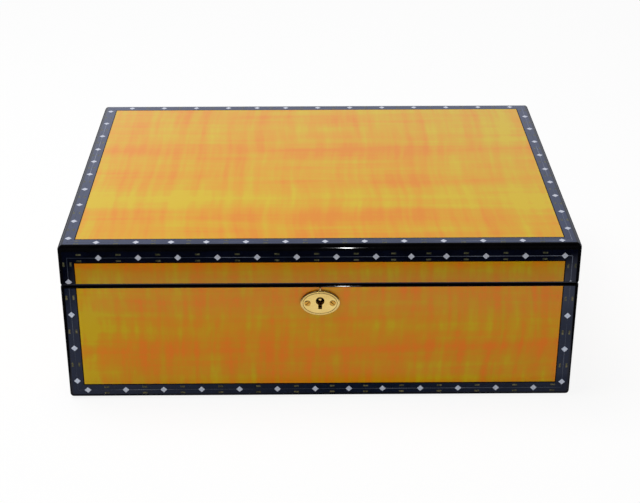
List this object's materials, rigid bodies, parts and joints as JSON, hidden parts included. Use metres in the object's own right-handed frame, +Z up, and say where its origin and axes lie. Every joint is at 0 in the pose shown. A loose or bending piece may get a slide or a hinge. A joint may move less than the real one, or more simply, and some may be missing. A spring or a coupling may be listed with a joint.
{
  "type": "humidor",
  "caption": "Lacquered rectangular wooden humidor with hinged lid, inlaid borders, oval keyhole plate, cedar lining and lift-out tray.",
  "frame": {"origin": "under the middle of the felt pad, in the plane that the box stands on", "axes": "+X to the right seen from the front, +Y to the back, +Z up; the keyhole plate faces -Y"},
  "size_m": [0.34, 0.2569, 0.116],
  "materials": {
    "figured_veneer": "high-gloss lacquer",
    "border_band": "high-gloss lacquer",
    "black_lacquer": "high-gloss lacquer",
    "pale_inlay": "pearly, lacquered over",
    "gold_inlay": "lacquered over",
    "core_board": "black lacquer where it shows at the rims",
    "cedar": "bare sanded cedar",
    "felt": "felt",
    "brass": "polished",
    "black_plastic": "satin",
    "foam": "open-cell foam",
    "dial": "matte",
    "glass": "clear",
    "needle": "matte black"
  },
  "bodies": {
    "box": {"base_front_wall": "core_board", "base_back_wall": "core_board", "base_left_wall": "core_board", "base_right_wall": "core_board", "base_bottom_panel": "core_board", "base_front_veneer": "figured_veneer", "base_back_veneer": "figured_veneer", "base_left_veneer": "figured_veneer", "base_right_veneer": "figured_veneer", "base_border_bands": "border_band", "base_black_stringing": "black_lacquer", "base_lozenges": "pale_inlay", "base_gold_dashes": "gold_inlay", "base_edging": "black_lacquer", "felt_pad": "felt", "lining_floor": "cedar", "lining_front": "cedar", "lining_back": "cedar", "lining_left": "cedar", "lining_right": "cedar", "tray_runners": "cedar", "lock_case": "brass", "keyhole_plate": "brass", "keyhole_plate_screws": "brass", "hinge_base_leaves": "brass", "hinge_pins": "brass", "base_screws": "brass"},
    "lid": {"lid_top_panel": "core_board", "lid_front_rail": "core_board", "lid_back_rail": "core_board", "lid_left_rail": "core_board", "lid_right_rail": "core_board", "lid_top_veneer": "figured_veneer", "lid_front_veneer": "figured_veneer", "lid_back_veneer": "figured_veneer", "lid_left_veneer": "figured_veneer", "lid_right_veneer": "figured_veneer", "lid_border_bands": "border_band", "lid_black_stringing": "black_lacquer", "lid_lozenges": "pale_inlay", "lid_gold_dashes": "gold_inlay", "lid_edging": "black_lacquer", "lid_lining_panel": "cedar", "lid_lining_strips": "cedar", "strike_plate": "brass", "lid_screws": "brass", "hinge_lid_leaves": "brass", "humidifier_case": "black_plastic", "humidifier_grille": "black_plastic", "humidifier_foam": "foam", "hygrometer_case": "brass", "hygrometer_bezel": "brass", "hygrometer_dial": "dial", "hygrometer_glass": "glass"},
    "needle": {"hygrometer_needle": "needle"},
    "bolt": {"lock_bolt": "brass"},
    "tray": {"tray_bottom": "cedar", "tray_sides": "cedar"},
    "divider": {"tray_divider": "cedar"}
  },
  "joints": [
    {"name": "lid_hinge", "type": "hinge", "parent": "box", "child": "lid", "pos_m": [0, 0.1278, 0.08675], "axis": [-1, 0, 0], "range_deg": [0, 95]},
    {"name": "bolt_slide", "type": "slide", "parent": "box", "child": "bolt", "axis": [1, 0, 0], "range_m": [0, 0.0045]},
    {"name": "tray_lift", "type": "slide", "parent": "box", "child": "tray", "axis": [0, 0, 1], "range_m": [0, 0.009]},
    {"name": "divider_slide", "type": "slide", "parent": "tray", "child": "divider", "axis": [1, 0, 0], "range_m": [-0.18, 0.1]},
    {"name": "needle_turn", "type": "hinge", "parent": "lid", "child": "needle", "pos_m": [0.08, 0, 0.0987], "axis": [0, 0, 1], "range_deg": [-120, 120]}
  ]
}
